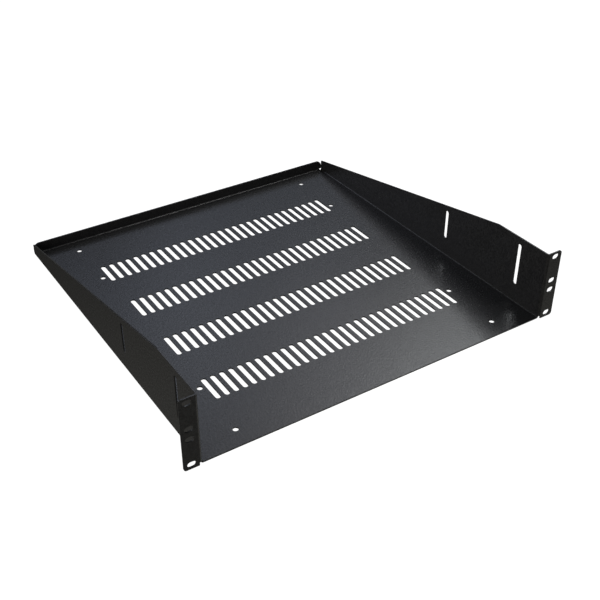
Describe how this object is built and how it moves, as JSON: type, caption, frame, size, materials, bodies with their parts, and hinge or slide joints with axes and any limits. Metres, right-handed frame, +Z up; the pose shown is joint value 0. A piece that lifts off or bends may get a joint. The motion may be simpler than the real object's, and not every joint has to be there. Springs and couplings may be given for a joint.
{
  "type": "rack shelf",
  "caption": "Folded sheet-steel rack shelf with a slotted tray, sloping side walls, a low back lip and slotted mounting ears.",
  "frame": {"origin": "midway between the holes of the two ears, on the rear face of the ears, which seats on the rack rails", "axes": "+X across the rack towards the shelf's right ear seen from the front, +Y towards the back of the rack, +Z up"},
  "size_m": [0.4826, 0.4572, 0.0878],
  "materials": {
    "black_powder_coat": "satin black powder coat with a fine texture, on steel sheet"
  },
  "bodies": {
    "root": {"folded_shelf": "black_powder_coat"}
  },
  "joints": []
}
